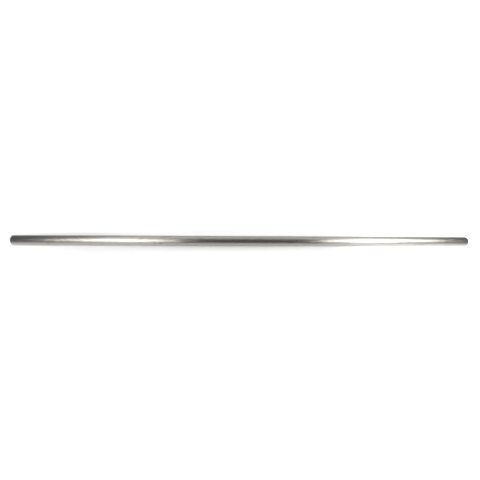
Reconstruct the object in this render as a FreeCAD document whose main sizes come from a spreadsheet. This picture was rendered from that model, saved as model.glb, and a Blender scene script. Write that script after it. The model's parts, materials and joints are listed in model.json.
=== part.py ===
# Round stainless steel tube, one length of cut stock, lying on the floor.
#
# The tube is strip rolled round and welded along its length. The weld is ground flush outside,
# and inside it is left as a low flattened bead. Both ends are sawn square and deburred.
#
# Frame: millimetres, +X along the tube, +Y away from the viewer, +Z up. The origin is on the
# floor, below the middle of the tube.

import FreeCAD, Part
import Sketcher
import math
import os

# Driving dimensions: alias, value, what it is. Lengths are in mm and angles in degrees.
SIZES = [
    ("tube_length", 1000.0, "length of the stock, end to end"),
    ("outer_diameter", 22.0, "outside diameter"),
    ("wall_thickness", 1.5, "wall of the strip that the tube is rolled from"),
    ("bead_width", 2.4, "width of the weld bead at its foot, in the bore"),
    ("bead_height", 0.15, "how far the bead's flat stands in from the bore"),
    ("bead_flank", 0.5, "width of the slope on each side of the bead"),
    ("weld_turn", 60.0, "turn of the weld about +X, from the bottom of the tube"),
    ("outer_break", 0.3, "leg of the 45 degree break on the outer edge of each end"),
    ("inner_break", 0.25, "leg of the 45 degree break on the bore's edge of each end"),
    ("overrun", 1.0, "how far the deburring cutters run past the metal"),
]

# Sketcher's own numbers for the origin point, and for the points of a line or an arc.
ORIGIN = (-1, 1)
START, END, CENTRE = range(1, 4)


def make_sheet(doc):
    """The spreadsheet that holds the driving dimensions."""
    sheet = doc.addObject("Spreadsheet::Sheet", "Sizes")
    for row, (alias, value, meaning) in enumerate(SIZES, start=1):
        sheet.set(f"A{row}", alias)
        sheet.set(f"B{row}", str(value))
        sheet.setAlias(f"B{row}", alias)
        sheet.set(f"C{row}", meaning)
    doc.recompute()
    return sheet


def origin_feature(body, role):
    return next(f for f in body.Origin.OriginFeatures if f.Role == role)


def new_sketch(body, name, role):
    """An empty sketch of the body, flat on one of its origin planes."""
    sketch = body.newObject("Sketcher::SketchObject", name)
    sketch.AttachmentSupport = [(origin_feature(body, role), "")]
    sketch.MapMode = "FlatFace"
    return sketch


def bind(sketch, name, expression, kind, *where):
    """Adds a dimension to the sketch and ties it to the spreadsheet.

    Where ends in the size that the dimension has as drawn.
    """
    index = sketch.addConstraint(Sketcher.Constraint(kind, *where))
    sketch.renameConstraint(index, name)
    sketch.setExpression("Constraints." + name, expression)


def draw_section(body, sheet):
    """Cross-section of the tube: the outside, and the bore with the flat weld bead at its bottom."""
    sketch = new_sketch(body, "Section", "YZ_Plane")
    outer = sheet.outer_diameter / 2
    bore = outer - sheet.wall_thickness
    foot_width = sheet.bead_width
    flat_width = sheet.bead_width - 2 * sheet.bead_flank
    flat_depth = bore - sheet.bead_height
    foot_turn = math.asin(foot_width / 2 / bore)
    foot_depth = bore * math.cos(foot_turn)
    bottom = -math.pi / 2
    centre = FreeCAD.Vector(0, 0, 0)
    normal = FreeCAD.Vector(0, 0, 1)
    foot_left = FreeCAD.Vector(-foot_width / 2, -foot_depth, 0)
    flat_left = FreeCAD.Vector(-flat_width / 2, -flat_depth, 0)
    flat_right = FreeCAD.Vector(flat_width / 2, -flat_depth, 0)
    foot_right = FreeCAD.Vector(foot_width / 2, -foot_depth, 0)

    outer_circle = Part.Circle(centre, normal, outer)
    bore_circle = Part.Circle(centre, normal, bore)
    around_bead = (bottom + foot_turn, bottom - foot_turn + 2 * math.pi)
    outside = sketch.addGeometry(outer_circle, False)
    inside = sketch.addGeometry(Part.ArcOfCircle(bore_circle, *around_bead), False)
    left = sketch.addGeometry(Part.LineSegment(foot_left, flat_left), False)
    flat = sketch.addGeometry(Part.LineSegment(flat_left, flat_right), False)
    right = sketch.addGeometry(Part.LineSegment(flat_right, foot_right), False)

    sketch.addConstraint(Sketcher.Constraint("Coincident", outside, CENTRE, *ORIGIN))
    sketch.addConstraint(Sketcher.Constraint("Coincident", inside, CENTRE, *ORIGIN))
    sketch.addConstraint(Sketcher.Constraint("Coincident", inside, END, left, START))
    sketch.addConstraint(Sketcher.Constraint("Coincident", left, END, flat, START))
    sketch.addConstraint(Sketcher.Constraint("Coincident", flat, END, right, START))
    sketch.addConstraint(Sketcher.Constraint("Coincident", right, END, inside, START))
    sketch.addConstraint(Sketcher.Constraint("Horizontal", left, START, right, END))
    sketch.addConstraint(Sketcher.Constraint("Horizontal", flat))

    radius = "Sizes.outer_diameter / 2"
    bore_radius = radius + " - Sizes.wall_thickness"
    depth = bore_radius + " - Sizes.bead_height"
    width = "Sizes.bead_width - 2 * Sizes.bead_flank"
    half = "Sizes.bead_width / 2 - Sizes.bead_flank"
    bind(sketch, "outer_radius", radius, "Radius", outside, outer)
    bind(sketch, "bore_radius", bore_radius, "Radius", inside, bore)
    bind(sketch, "flat_depth", depth, "DistanceY", flat, START, *ORIGIN, flat_depth)
    bind(sketch, "flat_width", width, "DistanceX", flat, START, flat, END, flat_width)
    bind(sketch, "flat_half", half, "DistanceX", flat, START, *ORIGIN, flat_width / 2)
    bind(sketch, "foot_width", "Sizes.bead_width", "DistanceX", left, START, right, END, foot_width)
    return sketch


def draw_cutter(body, sheet, name, outwards):
    """Triangle that breaks one edge of the +X end at 45 degrees, when it is turned about the axis.

    Its long side is the break. The triangle lies outside the tube where outwards is 1, and in
    the bore where it is -1, and it runs past the metal by the overrun.
    """
    sketch = new_sketch(body, name, "XZ_Plane")
    end = sheet.tube_length / 2
    end_text = "Sizes.tube_length / 2"
    radius = sheet.outer_diameter / 2
    radius_text = "Sizes.outer_diameter / 2"
    leg = sheet.outer_break
    leg_text = "Sizes.outer_break"
    if outwards < 0:
        radius = radius - sheet.wall_thickness
        radius_text = radius_text + " - Sizes.wall_thickness"
        leg = sheet.inner_break
        leg_text = "Sizes.inner_break"
    over = sheet.overrun
    deep_x = end - leg - over
    deep_r = radius + outwards * over
    past_x = end + over
    past_r = radius - outwards * (leg + over)

    deep = FreeCAD.Vector(deep_x, deep_r, 0)
    past = FreeCAD.Vector(past_x, past_r, 0)
    corner = FreeCAD.Vector(past_x, deep_r, 0)
    slope = sketch.addGeometry(Part.LineSegment(deep, past), False)
    face = sketch.addGeometry(Part.LineSegment(past, corner), False)
    side = sketch.addGeometry(Part.LineSegment(corner, deep), False)
    sketch.addConstraint(Sketcher.Constraint("Coincident", slope, END, face, START))
    sketch.addConstraint(Sketcher.Constraint("Coincident", face, END, side, START))
    sketch.addConstraint(Sketcher.Constraint("Coincident", side, END, slope, START))
    sketch.addConstraint(Sketcher.Constraint("Vertical", face))
    sketch.addConstraint(Sketcher.Constraint("Horizontal", side))

    deep_x_text = f"{end_text} - {leg_text} - Sizes.overrun"
    past_x_text = f"{end_text} + Sizes.overrun"
    deep_r_text = f"{radius_text} + {outwards} * Sizes.overrun"
    past_r_text = f"{radius_text} - {outwards} * ({leg_text} + Sizes.overrun)"
    bind(sketch, "deep_x", deep_x_text, "DistanceX", *ORIGIN, slope, START, deep_x)
    bind(sketch, "deep_r", deep_r_text, "DistanceY", *ORIGIN, slope, START, deep_r)
    bind(sketch, "past_x", past_x_text, "DistanceX", *ORIGIN, slope, END, past_x)
    bind(sketch, "past_r", past_r_text, "DistanceY", *ORIGIN, slope, END, past_r)
    return sketch


def break_edge(body, sheet, name, outwards):
    """Turns one of the cutters about the tube's axis."""
    groove = body.newObject("PartDesign::Groove", name)
    groove.Profile = draw_cutter(body, sheet, name + "Cutter", outwards)
    groove.ReferenceAxis = (origin_feature(body, "X_Axis"), [""])
    groove.Angle = 360
    return groove


def make_tube(doc, sheet):
    """The whole tube, in its place on the floor."""
    body = doc.addObject("PartDesign::Body", "Tube")
    body.Label = "tube"

    pad = body.newObject("PartDesign::Pad", "Stock")
    pad.Profile = draw_section(body, sheet)
    pad.SideType = "Symmetric"
    pad.setExpression("Length", "Sizes.tube_length")
    doc.recompute()

    outer_edge = break_edge(body, sheet, "OuterBreak", 1)
    doc.recompute()
    bore_edge = break_edge(body, sheet, "InnerBreak", -1)
    doc.recompute()

    other_end = body.newObject("PartDesign::Mirrored", "OtherEnd")
    other_end.Originals = [outer_edge, bore_edge]
    other_end.MirrorPlane = (origin_feature(body, "YZ_Plane"), [""])
    body.Tip = other_end
    doc.recompute()

    along = FreeCAD.Vector(1, 0, 0)
    lift = FreeCAD.Vector(0, 0, sheet.outer_diameter / 2)
    body.Placement = FreeCAD.Placement(lift, FreeCAD.Rotation(along, sheet.weld_turn))
    body.setExpression("Placement.Base.z", "Sizes.outer_diameter / 2")
    doc.recompute()
    return body


def check(doc):
    """Stops the build where a feature has failed or a shape isn't sound."""
    for thing in doc.Objects:
        if "Invalid" in thing.State or "Error" in thing.State:
            raise RuntimeError(f"{thing.Name} failed: {thing.State}")
        if thing.isDerivedFrom("PartDesign::Feature") or thing.isDerivedFrom("PartDesign::Body"):
            if thing.Shape.isNull() or not thing.Shape.isValid():
                raise RuntimeError(f"{thing.Name} has no sound shape")


def main():
    doc = FreeCAD.newDocument("StainlessTube")
    sheet = make_sheet(doc)
    tube = make_tube(doc, sheet)
    check(doc)
    os.makedirs("parts", exist_ok=True)
    tube.Shape.exportStep(f"parts/{tube.Label}.step")
    box = tube.Shape.BoundBox
    print(f"{tube.Label}: {box.XLength:.3f} x {box.YLength:.3f} x {box.ZLength:.3f} mm")
    print(f"  from z {box.ZMin:.3f}, volume {tube.Shape.Volume:.1f} mm3")
    print(f"  {len(tube.Shape.Solids)} solid, {len(tube.Shape.Faces)} faces")


main()
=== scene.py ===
"""Looks of a round stainless steel tube, one length of cut stock that lies on a white floor.

Lengths are in metres. +X runs along the tube, +Y away from the viewer, and +Z up.
"""

import json
import math

import bmesh
import bpy
from mathutils import Matrix, Vector


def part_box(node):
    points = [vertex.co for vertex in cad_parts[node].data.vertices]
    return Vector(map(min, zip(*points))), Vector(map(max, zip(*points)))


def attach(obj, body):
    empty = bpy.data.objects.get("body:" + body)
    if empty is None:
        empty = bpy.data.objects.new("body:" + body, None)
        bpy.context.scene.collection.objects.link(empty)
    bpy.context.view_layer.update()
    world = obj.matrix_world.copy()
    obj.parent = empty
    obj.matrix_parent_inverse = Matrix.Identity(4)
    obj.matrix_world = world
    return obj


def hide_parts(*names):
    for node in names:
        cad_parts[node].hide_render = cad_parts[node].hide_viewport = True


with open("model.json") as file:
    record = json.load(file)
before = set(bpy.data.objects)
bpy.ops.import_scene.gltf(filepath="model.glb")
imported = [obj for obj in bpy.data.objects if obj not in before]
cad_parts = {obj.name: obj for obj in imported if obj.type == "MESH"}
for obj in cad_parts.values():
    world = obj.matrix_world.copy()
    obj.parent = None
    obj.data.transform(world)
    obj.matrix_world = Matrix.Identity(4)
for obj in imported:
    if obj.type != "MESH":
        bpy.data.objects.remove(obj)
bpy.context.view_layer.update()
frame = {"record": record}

bl_info = {
    "name": "Stainless Steel Tube",
    "version": (1, 0, 0),
    "blender": (4, 5, 0),
    "location": "View3D > Sidebar > Tube",
    "description": "Makes a satin polished steel tube with sawn ends, and a white studio for it",
    "category": "Add Mesh",
}

MOUNTS = {mount["name"]: mount for mount in frame["record"]["mounts"]}
OUTER_RADIUS = MOUNTS["outside"]["dims"]["r_mm"] / 1000
BORE_RADIUS = MOUNTS["bore_right"]["dims"]["r_mm"] / 1000
TUBE_LOW, TUBE_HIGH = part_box("tube")
TUBE_LENGTH = TUBE_HIGH.x - TUBE_LOW.x

# The tube's own map: U runs once round it from the side opposite the weld, V from end to end.
WRAP_MAP = "TubeWrap"
WELD_U = 0.5

# Order of the tube's materials.
OUTSIDE, BORE, END = range(3)

# How far off an end's plane a point may lie, and off its ring's radius, as the bead's points do.
PLANE_SLACK = 1e-7
RING_SLACK = 3e-4

# Faces this close to an end take the ends' material: the flat ring and both broken edges.
END_DEPTH = 0.0004
# A face whose normal points this much along the tube is flat, and isn't shaded smooth.
SQUARE = 0.999

# Heights of the finishes' relief.
POLISH_RELIEF = 0.000018
BORE_RELIEF = 0.00001
SAW_RELIEF = 0.00002

# Ripples of the weld bead: their spacing, and their bow, which grows with the square of the
# distance from the weld's middle.
RIPPLE_SPACING = 0.0011
RIPPLE_BOW = 300.0

# Saw lines: marks to the metre along X, Y and Z, and their slant.
SAW_LINES = (1.0, 300.0, 7000.0)
SAW_SLANT = 0.35

# Half the width of the floor, and the white that it shows, also the colour of its painted shade and
# light near the tube.
FLOOR_REACH = 20.0
FLOOR_WHITE = (0.98, 0.99, 1.0, 1)

# The light of the studio's walls, and the backdrop that the camera sees.
WALL_BEFORE = (0.046, 0.047, 0.048, 1)
WALL_BEHIND = (0.197, 0.197, 0.197, 1)
WALL_ASIDE = (0.145, 0.148, 0.155, 1)
BACKDROP = (1, 1, 1, 1)


class TubeSizes(bpy.types.PropertyGroup):
    """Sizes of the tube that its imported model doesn't give as a mount."""

    sides: bpy.props.IntProperty(
        name="Sides",
        description="Number of flats round the tube's mesh",
        default=192,
        min=48,
    )
    weld_turn: bpy.props.FloatProperty(
        name="Weld turn",
        description="Turn of the weld about the tube's axis, from the bottom of the tube",
        default=math.radians(60),
        subtype="ANGLE",
    )
    bead_width: bpy.props.FloatProperty(
        name="Bead width",
        description="Width of the weld bead at its foot, in the bore",
        default=0.0024,
        unit="LENGTH",
    )
    bead_height: bpy.props.FloatProperty(
        name="Bead height",
        description="How far the bead's flat stands in from the bore",
        default=0.00015,
        unit="LENGTH",
    )
    bead_flank: bpy.props.FloatProperty(
        name="Bead flank",
        description="Width of the slope on each side of the bead",
        default=0.0005,
        unit="LENGTH",
    )
    outer_break: bpy.props.FloatProperty(
        name="Outer break",
        description="Size of the broken edge round the outside of each end",
        default=0.0003,
        unit="LENGTH",
    )
    inner_break: bpy.props.FloatProperty(
        name="Inner break",
        description="Size of the broken edge round the bore of each end",
        default=0.00025,
        unit="LENGTH",
    )


class SteelFinish(bpy.types.PropertyGroup):
    """Colours and polish of the steel."""

    steel: bpy.props.FloatVectorProperty(
        name="Steel",
        description="Colour of the polished outside",
        default=(0.527, 0.507, 0.468),
        subtype="COLOR",
    )
    bore: bpy.props.FloatVectorProperty(
        name="Bore",
        description="Colour of the unpolished bore",
        default=(0.52, 0.51, 0.49),
        subtype="COLOR",
    )
    straw_tint: bpy.props.FloatVectorProperty(
        name="Straw tint",
        description="Colour that the weld's heat leaves close to the bead",
        default=(0.46, 0.35, 0.21),
        subtype="COLOR",
    )
    blue_tint: bpy.props.FloatVectorProperty(
        name="Blue tint",
        description="Colour that the weld's heat leaves further from the bead",
        default=(0.24, 0.25, 0.36),
        subtype="COLOR",
    )
    cut: bpy.props.FloatVectorProperty(
        name="Cut",
        description="Colour of the sawn ends",
        default=(0.50, 0.49, 0.47),
        subtype="COLOR",
    )
    polish: bpy.props.FloatProperty(
        name="Roughness",
        description="Roughness of the polished outside",
        default=0.29,
        min=0.0,
        max=1.0,
    )
    grain: bpy.props.FloatProperty(
        name="Grain",
        description="How much more the lengthwise polishing lines blur round the tube than along it",
        default=1.0,
        min=0.0,
        max=1.0,
    )


class Studio(bpy.types.PropertyGroup):
    """The floor, the walls' light and the lamps."""

    floor: bpy.props.FloatVectorProperty(
        name="Floor",
        description="Colour of the floor",
        default=(0.80, 0.80, 0.80),
        subtype="COLOR",
    )
    left_power: bpy.props.FloatProperty(
        name="Left softbox",
        description="Power of the softbox at the left",
        default=15.2,
        unit="POWER",
    )
    right_power: bpy.props.FloatProperty(
        name="Right softbox",
        description="Power of the softbox at the right",
        default=18.9,
        unit="POWER",
    )
    ceiling_power: bpy.props.FloatProperty(
        name="Ceiling panel",
        description="Power of the wide panel above and behind the tube",
        default=25.5,
        unit="POWER",
    )


class Nodes:
    """Short calls that add nodes to one material or world."""

    def __init__(self, tree):
        self.tree = tree
        self.tree.nodes.clear()

    def add(self, kind, inputs=None, **settings):
        """A node with its settings and inputs: a value, or another node's output socket."""
        node = self.tree.nodes.new(kind)
        for name, value in settings.items():
            setattr(node, name, value)
        for name, value in (inputs or {}).items():
            if isinstance(value, bpy.types.NodeSocket):
                self.tree.links.new(value, node.inputs[name])
            else:
                node.inputs[name].default_value = value
        return node

    def math(self, operation, first, second=0.0, third=0.0):
        """The result of one operation on up to three values."""
        node = self.add("ShaderNodeMath", {0: first, 1: second, 2: third}, operation=operation)
        return node.outputs[0]

    def ramp(self, value, low, high, to_low=0.0, to_high=1.0):
        """Value from low to high, eased into to_low to to_high."""
        inputs = {
            "Value": value,
            "From Min": low,
            "From Max": high,
            "To Min": to_low,
            "To Max": to_high,
        }
        node = self.add("ShaderNodeMapRange", inputs, interpolation_type="SMOOTHSTEP")
        return node.outputs["Result"]

    def mix(self, factor, first, second):
        """A colour between first, where factor is 0, and second, where it is 1."""
        sockets = {"Factor": factor, 6: first, 7: second}
        return self.add("ShaderNodeMix", sockets, data_type="RGBA").outputs[2]

    def seen(self):
        """1 for what the camera sees, also in metal and through glass, and 0 for the light."""
        rays = self.add("ShaderNodeLightPath").outputs
        mirrored = self.math("MAXIMUM", rays["Is Glossy Ray"], rays["Is Transmission Ray"])
        return self.math("MAXIMUM", rays["Is Camera Ray"], mirrored)


def colour(values, shade=1.0):
    """A property's colour as a node takes it, darker where shade is under 1."""
    return (values[0] * shade, values[1] * shade, values[2] * shade, 1.0)


def streaks(nodes, place, along, around, detail=2.0, seed=0.0):
    """Noise drawn out along the tube: along and around are the size of its marks."""
    scaled = nodes.add(
        "ShaderNodeMapping",
        {"Vector": place, "Scale": (1 / along, 1 / around, 1 / around), "Location": (seed, seed, 0)},
    )
    noise = nodes.add(
        "ShaderNodeTexNoise",
        {"Vector": scaled.outputs["Vector"], "Scale": 1.0, "Detail": detail, "Roughness": 0.6},
    )
    return noise.outputs[0]


def off_weld(nodes, radius):
    """Distance round the tube from the weld's middle, in metres."""
    wrap = nodes.add("ShaderNodeUVMap", uv_map=WRAP_MAP).outputs["UV"]
    turn = nodes.add("ShaderNodeSeparateXYZ", {"Vector": wrap}).outputs["X"]
    apart = nodes.math("ABSOLUTE", nodes.math("SUBTRACT", turn, WELD_U))
    return nodes.math("MULTIPLY", apart, 2 * math.pi * radius)


def polished_steel(finish):
    """Outside of the tube, polished along its length to a satin, with scuffs and dark spots."""
    material = bpy.data.materials.new("polished_steel")
    material.use_nodes = True
    nodes = Nodes(material.node_tree)
    place = nodes.add("ShaderNodeTexCoord").outputs["Object"]
    lines = streaks(nodes, place, 0.045, 0.00035, detail=3.0)
    hairs = streaks(nodes, place, 0.015, 0.00013, detail=2.0, seed=19.0)
    passes = streaks(nodes, place, 0.20, 0.003, seed=3.0)
    haze = streaks(nodes, place, 0.04, 0.012, detail=3.0, seed=7.0)
    scuffs = nodes.ramp(streaks(nodes, place, 0.014, 0.0012, detail=4.0, seed=11.0), 0.58, 0.64)
    spots = nodes.ramp(streaks(nodes, place, 0.020, 0.006, detail=3.0, seed=29.0), 0.56, 0.65)
    patches = nodes.ramp(streaks(nodes, place, 0.12, 0.08, seed=43.0), 0.48, 0.54)
    seam = nodes.ramp(off_weld(nodes, OUTER_RADIUS), 0.0006, 0.0011, 1.0, 0.0)

    worn = nodes.math("MULTIPLY_ADD", haze, 0.03, finish.polish - 0.015)
    brushed = nodes.math("MULTIPLY_ADD", passes, 0.03, nodes.math("SUBTRACT", worn, 0.015))
    rough = nodes.math("MULTIPLY_ADD", lines, 0.04, nodes.math("SUBTRACT", brushed, 0.02))
    even = nodes.mix(nodes.ramp(passes, 0.35, 0.65), colour(finish.steel, 0.95), colour(finish.steel))
    groove = nodes.ramp(nodes.math("ADD", lines, hairs), 0.8, 1.15, 0.0, 0.7)
    lined = nodes.mix(groove, even, colour(finish.steel, 0.86))
    scuffed = nodes.mix(scuffs, lined, colour(finish.steel, 0.86))
    marked = nodes.mix(nodes.math("MULTIPLY", spots, patches), scuffed, colour(finish.steel, 0.70))
    tone = nodes.mix(nodes.math("MULTIPLY", seam, 0.7), marked, colour(finish.steel, 0.90))
    height = nodes.math("MULTIPLY_ADD", hairs, 0.4, lines)
    bump = nodes.add("ShaderNodeBump", {"Height": height, "Strength": 1.0, "Distance": POLISH_RELIEF})
    tangent = nodes.add("ShaderNodeTangent", direction_type="UV_MAP", uv_map=WRAP_MAP)
    shader = nodes.add(
        "ShaderNodeBsdfPrincipled",
        {
            "Base Color": tone,
            "Metallic": 1.0,
            "Roughness": rough,
            "Anisotropic": finish.grain,
            "Tangent": tangent.outputs["Tangent"],
            "Normal": bump.outputs["Normal"],
        },
    )
    nodes.add("ShaderNodeOutputMaterial", {"Surface": shader.outputs["BSDF"]})
    return material


def bore_steel(finish):
    """The unpolished bore, with the tint that the weld's heat left beside the bead."""
    material = bpy.data.materials.new("bore_steel")
    material.use_nodes = True
    nodes = Nodes(material.node_tree)
    place = nodes.add("ShaderNodeTexCoord").outputs["Object"]
    drawn = streaks(nodes, place, 0.03, 0.0004, detail=3.0)
    cloud = streaks(nodes, place, 0.02, 0.006, detail=3.0, seed=5.0)
    off = nodes.math("MULTIPLY_ADD", cloud, 0.0016, off_weld(nodes, BORE_RADIUS))
    bead = nodes.ramp(off, 0.0019, 0.0023, 1.0, 0.0)
    straw = nodes.ramp(off, 0.0022, 0.0048, 0.85, 0.0)
    inner = nodes.ramp(off, 0.0034, 0.0046)
    blue = nodes.math("MULTIPLY", inner, nodes.ramp(off, 0.0050, 0.0070, 0.6, 0.0))

    plain = nodes.mix(nodes.ramp(cloud, 0.3, 0.7), colour(finish.bore, 0.8), colour(finish.bore))
    strawed = nodes.mix(straw, plain, colour(finish.straw_tint))
    tinted = nodes.mix(blue, strawed, colour(finish.blue_tint))
    tone = nodes.mix(bead, tinted, colour(finish.bore, 1.1))
    rough = nodes.math("MULTIPLY_ADD", cloud, 0.2, 0.42)

    along = nodes.add("ShaderNodeSeparateXYZ", {"Vector": place}).outputs["X"]
    bowed = nodes.math("MULTIPLY_ADD", nodes.math("POWER", off, 2.0), RIPPLE_BOW, along)
    ripple = nodes.math("SINE", nodes.math("MULTIPLY", bowed, 2 * math.pi / RIPPLE_SPACING))
    height = nodes.math("MULTIPLY_ADD", nodes.math("MULTIPLY", ripple, bead), 0.8, drawn)
    bump = nodes.add("ShaderNodeBump", {"Height": height, "Strength": 1.0, "Distance": BORE_RELIEF})
    shader = nodes.add(
        "ShaderNodeBsdfPrincipled",
        {
            "Base Color": tone,
            "Metallic": 1.0,
            "Roughness": rough,
            "Normal": bump.outputs["Normal"],
        },
    )
    nodes.add("ShaderNodeOutputMaterial", {"Surface": shader.outputs["BSDF"]})
    return material


def sawn_steel(finish):
    """The ends, sawn square and deburred."""
    material = bpy.data.materials.new("sawn_steel")
    material.use_nodes = True
    nodes = Nodes(material.node_tree)
    place = nodes.add("ShaderNodeTexCoord").outputs["Object"]
    scaled = nodes.add(
        "ShaderNodeMapping",
        {"Vector": place, "Scale": SAW_LINES, "Rotation": (SAW_SLANT, 0, 0)},
    )
    lines = nodes.add(
        "ShaderNodeTexNoise", {"Vector": scaled.outputs["Vector"], "Scale": 1.0, "Detail": 2.0}
    ).outputs[0]
    rough = nodes.math("MULTIPLY_ADD", lines, 0.2, 0.25)
    bump = nodes.add("ShaderNodeBump", {"Height": lines, "Strength": 1.0, "Distance": SAW_RELIEF})
    shader = nodes.add(
        "ShaderNodeBsdfPrincipled",
        {
            "Base Color": colour(finish.cut),
            "Metallic": 1.0,
            "Roughness": rough,
            "Normal": bump.outputs["Normal"],
        },
    )
    nodes.add("ShaderNodeOutputMaterial", {"Surface": shader.outputs["BSDF"]})
    return material


def press_bead(ring, sizes):
    """Moves the lowest points of the bore's ring onto the weld bead."""
    flat_depth = BORE_RADIUS - sizes.bead_height
    foot_turn = math.asin(sizes.bead_width / 2 / BORE_RADIUS)
    flat_half = sizes.bead_width / 2 - sizes.bead_flank
    step = 2 * math.pi / sizes.sides
    foot = round(foot_turn / step)
    flat = round(math.atan2(flat_half, flat_depth) / step)
    foot_at = Vector((BORE_RADIUS * math.sin(foot_turn), -BORE_RADIUS * math.cos(foot_turn), 0))
    flat_at = Vector((flat_half, -flat_depth, 0))
    for point in ring:
        turn = math.atan2(point.co.x, -point.co.y)
        count = abs(round(turn / step))
        side = math.copysign(1, turn)
        if count > foot:
            continue
        if count <= flat:
            place = Vector((flat_half * count / flat, -flat_depth, 0))
        else:
            place = flat_at.lerp(foot_at, (count - flat) / (foot - flat))
        point.co = Vector((side * place.x, place.y, 0))


def rim(bm, radius, half):
    """Edges of one radius round both ends."""
    found = []
    for edge in bm.edges:
        ends = [abs(abs(v.co.z) - half) < PLANE_SLACK for v in edge.verts]
        reach = [abs(Vector(v.co.xy).length - radius) < RING_SLACK for v in edge.verts]
        level = abs(edge.verts[0].co.z - edge.verts[1].co.z) < PLANE_SLACK
        if all(ends) and all(reach) and level and len(edge.link_faces) == 2:
            found.append(edge)
    return found


def tube_mesh(sizes):
    """The tube's mesh: the section is drawn as two rings, joined, drawn out and deburred."""
    half = TUBE_LENGTH / 2
    bm = bmesh.new()
    bmesh.ops.create_circle(bm, segments=sizes.sides, radius=OUTER_RADIUS)
    ring = bmesh.ops.create_circle(bm, segments=sizes.sides, radius=BORE_RADIUS)["verts"]
    press_bead(ring, sizes)
    bmesh.ops.bridge_loops(bm, edges=bm.edges[:])
    bmesh.ops.translate(bm, verts=bm.verts[:], vec=(0, 0, -half))
    drawn = bmesh.ops.extrude_face_region(bm, geom=bm.faces[:])["geom"]
    ends = [item for item in drawn if isinstance(item, bmesh.types.BMVert)]
    bmesh.ops.translate(bm, verts=ends, vec=(0, 0, TUBE_LENGTH))
    bmesh.ops.recalc_face_normals(bm, faces=bm.faces[:])

    for radius, size in ((OUTER_RADIUS, sizes.outer_break), (BORE_RADIUS, sizes.inner_break)):
        bmesh.ops.bevel(
            bm,
            geom=rim(bm, radius, half),
            offset=size,
            offset_type="OFFSET",
            affect="EDGES",
            segments=3,
            profile=0.5,
            material=-1,
        )
    holding = half - 2 * sizes.outer_break
    for place in (-holding, -half / 3, half / 3, holding):
        whole = bm.verts[:] + bm.edges[:] + bm.faces[:]
        bmesh.ops.bisect_plane(bm, geom=whole, plane_co=(0, 0, place), plane_no=(0, 0, 1))
    return bm


def turn_round(point):
    """Turns round the tube from the side opposite the weld, between 0 and 1."""
    return math.atan2(point.x, -point.y) / (2 * math.pi) + WELD_U


def dress(bm, half):
    """Gives each face of the tube its material, its shading and its map."""
    middle = (OUTER_RADIUS + BORE_RADIUS) / 2
    wrap = bm.loops.layers.uv.new(WRAP_MAP)
    for face in bm.faces:
        centre = face.calc_center_median()
        if abs(centre.z) > half - END_DEPTH:
            face.material_index = END
        elif Vector(centre.xy).length > middle:
            face.material_index = OUTSIDE
        else:
            face.material_index = BORE
        face.smooth = abs(face.normal.z) <= SQUARE
        turn = turn_round(centre)
        for loop in face.loops:
            at = loop.vert.co
            own = turn_round(at)
            own += round(turn - own)
            loop[wrap].uv = (own, (at.z + half) / TUBE_LENGTH)


def place_in_frame(bm, sizes):
    """Turns the tube from +Z to +X, turns its weld, and lays it on the floor."""
    along_x = Matrix(((0, 0, 1, 0), (1, 0, 0, 0), (0, 1, 0, 0), (0, 0, 0, 1)))
    turned = Matrix.Rotation(sizes.weld_turn, 4, "X")
    lifted = Matrix.Translation((0, 0, OUTER_RADIUS))
    bmesh.ops.transform(bm, matrix=lifted @ turned @ along_x, verts=bm.verts[:])


class TUBE_OT_make_tube(bpy.types.Operator):
    """Makes the steel tube and gives it its finish"""

    bl_idname = "tube.make_tube"
    bl_label = "Steel Tube"

    def execute(self, context):
        sizes = context.scene.tube_sizes
        finish = context.scene.tube_finish
        bm = tube_mesh(sizes)
        dress(bm, TUBE_LENGTH / 2)
        place_in_frame(bm, sizes)
        mesh = bpy.data.meshes.new("steel_tube")
        bm.to_mesh(mesh)
        bm.free()
        for material in (polished_steel(finish), bore_steel(finish), sawn_steel(finish)):
            mesh.materials.append(material)
        tube = bpy.data.objects.new("steel_tube", mesh)
        context.scene.collection.objects.link(tube)
        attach(tube, "root")
        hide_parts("tube")
        return {"FINISHED"}


def oval_reach(nodes, place, narrow, x, y=0.0):
    """Distance from a point of the floor, with distances along the tube scaled by narrow."""
    oval = nodes.add(
        "ShaderNodeMapping",
        {"Vector": place, "Scale": (narrow, 1.0, 1.0), "Location": (-x * narrow, -y, 0)},
    )
    reach = nodes.add("ShaderNodeVectorMath", {0: oval.outputs["Vector"]}, operation="LENGTH")
    return reach.outputs["Value"]


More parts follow.
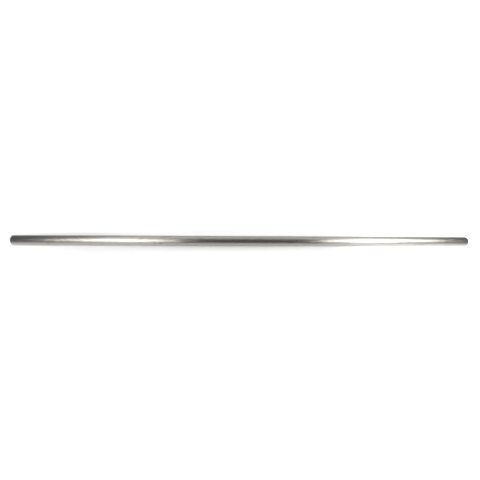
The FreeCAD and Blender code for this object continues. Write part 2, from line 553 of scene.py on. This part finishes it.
def lay_floor(studio):
    """A wide white floor. Its glow, seen by the camera and in the steel, is even far from the tube,
    and near it holds painted shade and painted light.
    """
    bm = bmesh.new()
    bmesh.ops.create_grid(bm, x_segments=1, y_segments=1, size=FLOOR_REACH)
    mesh = bpy.data.meshes.new("floor")
    bm.to_mesh(mesh)
    bm.free()
    floor = bpy.data.objects.new("floor", mesh)
    bpy.context.scene.collection.objects.link(floor)

    material = bpy.data.materials.new("white_floor_with_painted_light")
    material.use_nodes = True
    nodes = Nodes(material.node_tree)
    place = nodes.add("ShaderNodeTexCoord").outputs["Object"]
    # Each part is an oval's narrowing and middle, two reaches from there, and the light at both.
    # Painted shade: less glow close to the tube's middle deepens its shadow in front of it; 0.30
    # further out.
    before = nodes.ramp(oval_reach(nodes, place, 0.07, -0.05), 0.004, 0.023, 0.07, 0.30)
    # Painted shadow: the glow drops behind the tube's left half.
    behind = nodes.ramp(oval_reach(nodes, place, 0.06, -0.46, 0.020), 0.004, 0.018, -0.24, 0.0)
    # Painted shadow: the glow drops a little just behind the tube's middle.
    back = nodes.ramp(oval_reach(nodes, place, 0.08, 0.08, 0.03), 0.012, 0.036, -0.08, 0.0)
    # Painted light: more glow from near the tube's ends outwards lifts its shadow there.
    ends = nodes.ramp(oval_reach(nodes, place, 1.0, -0.05), 0.27, 0.60, 0.0, 0.40)
    # Painted light: a pool of glow on the floor before the tube's right half, which the steel's lower
    # side reflects.
    right = nodes.ramp(oval_reach(nodes, place, 1.0, 0.37, -0.10), 0.08, 0.23, 0.60, 0.0)
    far = nodes.ramp(oval_reach(nodes, place, 1.0, 0.0), 0.8, 3.0, 0.0, 0.30)
    # The glow is the painted shade and the painted light, with the even white far from the tube.
    painted_shades = nodes.math("ADD", nodes.math("ADD", before, behind), back)
    painted_light_and_far_white = nodes.math("ADD", nodes.math("ADD", ends, right), far)
    white = nodes.math("ADD", painted_shades, painted_light_and_far_white)
    shader = nodes.add(
        "ShaderNodeBsdfPrincipled",
        {
            "Base Color": colour(studio.floor),
            "Roughness": 0.9,
            "Specular IOR Level": 0.0,
            "Emission Color": FLOOR_WHITE,
            "Emission Strength": nodes.math("MULTIPLY", nodes.seen(), white),
        },
    )
    nodes.add("ShaderNodeOutputMaterial", {"Surface": shader.outputs["BSDF"]})
    mesh.materials.append(material)


def panel_lamp(name, place, target, width, height, power, turn=0.0):
    """A rectangular lamp at place that faces target, with its right side raised by turn degrees."""
    lamp = bpy.data.lights.new(name, "AREA")
    lamp.shape = "RECTANGLE"
    lamp.size = width
    lamp.size_y = height
    lamp.energy = power
    holder = bpy.data.objects.new(name, lamp)
    holder.matrix_world = aim(place, target) @ Matrix.Rotation(math.radians(turn), 4, "Z")
    bpy.context.scene.collection.objects.link(holder)


def aim(place, target):
    """Where a lamp at place faces target, with its width level."""
    back = (Vector(place) - Vector(target)).normalized()
    right = Vector((0, 0, 1)).cross(back)
    right = right.normalized() if right.length > 1e-6 else Vector((1, 0, 0))
    top = back.cross(right)
    return Matrix.Translation(place) @ Matrix((right, top, back)).transposed().to_4x4()


def light_walls():
    """The studio's walls, dark before the tube and grey behind it, and its white backdrop."""
    world = bpy.context.scene.world or bpy.data.worlds.new("studio")
    bpy.context.scene.world = world
    world.use_nodes = True
    nodes = Nodes(world.node_tree)
    direction = nodes.add("ShaderNodeTexCoord").outputs["Generated"]
    parts = nodes.add("ShaderNodeSeparateXYZ", {"Vector": direction}).outputs
    behind = nodes.ramp(parts["Y"], -0.05, 0.1)
    ahead = nodes.mix(behind, WALL_BEFORE, WALL_BEHIND)
    aside = nodes.ramp(nodes.math("ABSOLUTE", parts["X"]), 0.4, 0.62)
    walls = nodes.mix(aside, ahead, WALL_ASIDE)
    low = nodes.math("MULTIPLY", nodes.ramp(parts["Z"], 0.08, 0.12, 1.0, 0.0), behind)
    looked_at = nodes.add("ShaderNodeLightPath").outputs["Is Camera Ray"]
    backdrop = nodes.math("MAXIMUM", nodes.math("MULTIPLY", low, nodes.seen()), looked_at)
    light = nodes.mix(backdrop, walls, BACKDROP)
    shader = nodes.add("ShaderNodeBackground", {"Color": light, "Strength": 1.0})
    nodes.add("ShaderNodeOutputWorld", {"Surface": shader.outputs["Background"]})


def set_camera():
    """The camera, at the photograph's viewing angle."""
    distance = 0.562
    rise = math.radians(55)
    pan = math.radians(3.76)
    tilt = math.radians(0.21)
    roll = math.radians(0.19)
    lens = 19.10
    aside = -0.064
    right = Vector((1, 0, 0))
    ahead = Vector((0, math.cos(rise), -math.sin(rise)))
    up = Vector((0, math.sin(rise), math.cos(rise)))
    place = Vector((aside, 0, OUTER_RADIUS)) - distance * ahead
    level = math.sin(pan) * right + math.cos(pan) * ahead
    forward = math.cos(tilt) * level + math.sin(tilt) * up
    across = math.cos(pan) * right - math.sin(pan) * ahead
    top = across.cross(forward)
    turned = Matrix((across, top, -forward)).transposed().to_4x4()
    camera = bpy.data.cameras.new("camera")
    camera.lens = lens
    holder = bpy.data.objects.new("camera", camera)
    holder.matrix_world = Matrix.Translation(place) @ turned @ Matrix.Rotation(roll, 4, "Z")
    bpy.context.scene.collection.objects.link(holder)
    bpy.context.scene.camera = holder


class TUBE_OT_make_studio(bpy.types.Operator):
    """Makes the white floor, the lamps, the walls and the camera"""

    bl_idname = "tube.make_studio"
    bl_label = "White Studio"

    def execute(self, context):
        studio = context.scene.tube_studio
        context.scene.view_settings.view_transform = "Standard"
        lay_floor(studio)
        light_walls()
        tube = (0, 0, OUTER_RADIUS)
        panel_lamp(
            "left_softbox",
            place=(-0.922, -0.917, 1.481),
            target=tube,
            width=1.05,
            height=0.70,
            power=studio.left_power,
            turn=-12,
        )
        panel_lamp(
            "right_softbox",
            place=(1.223, -0.678, 1.406),
            target=tube,
            width=1.02,
            height=0.66,
            power=studio.right_power,
            turn=8,
        )
        panel_lamp(
            "ceiling_panel",
            place=(0.38, 1.76, 1.60),
            target=(0.38, 1.76, 0.0),
            width=3.15,
            height=2.85,
            power=studio.ceiling_power,
        )
        set_camera()
        return {"FINISHED"}


class TUBE_PT_panel(bpy.types.Panel):
    """Lists the tube's settings and the steps that make it"""

    bl_idname = "TUBE_PT_panel"
    bl_label = "Steel Tube"
    bl_space_type = "VIEW_3D"
    bl_region_type = "UI"
    bl_category = "Tube"

    def draw(self, context):
        for group in (
            context.scene.tube_sizes,
            context.scene.tube_finish,
            context.scene.tube_studio,
        ):
            box = self.layout.box()
            for name in group.__annotations__:
                box.prop(group, name)
        self.layout.operator(TUBE_OT_make_tube.bl_idname)
        self.layout.operator(TUBE_OT_make_studio.bl_idname)


CLASSES = (
    TubeSizes,
    SteelFinish,
    Studio,
    TUBE_OT_make_tube,
    TUBE_OT_make_studio,
    TUBE_PT_panel,
)


def register():
    for each in CLASSES:
        bpy.utils.register_class(each)
    bpy.types.Scene.tube_sizes = bpy.props.PointerProperty(type=TubeSizes)
    bpy.types.Scene.tube_finish = bpy.props.PointerProperty(type=SteelFinish)
    bpy.types.Scene.tube_studio = bpy.props.PointerProperty(type=Studio)


def unregister():
    del bpy.types.Scene.tube_studio
    del bpy.types.Scene.tube_finish
    del bpy.types.Scene.tube_sizes
    for each in reversed(CLASSES):
        bpy.utils.unregister_class(each)


def main():
    register()
    bpy.ops.tube.make_studio()
    bpy.ops.tube.make_tube()


if __name__ == "__main__":
    main()
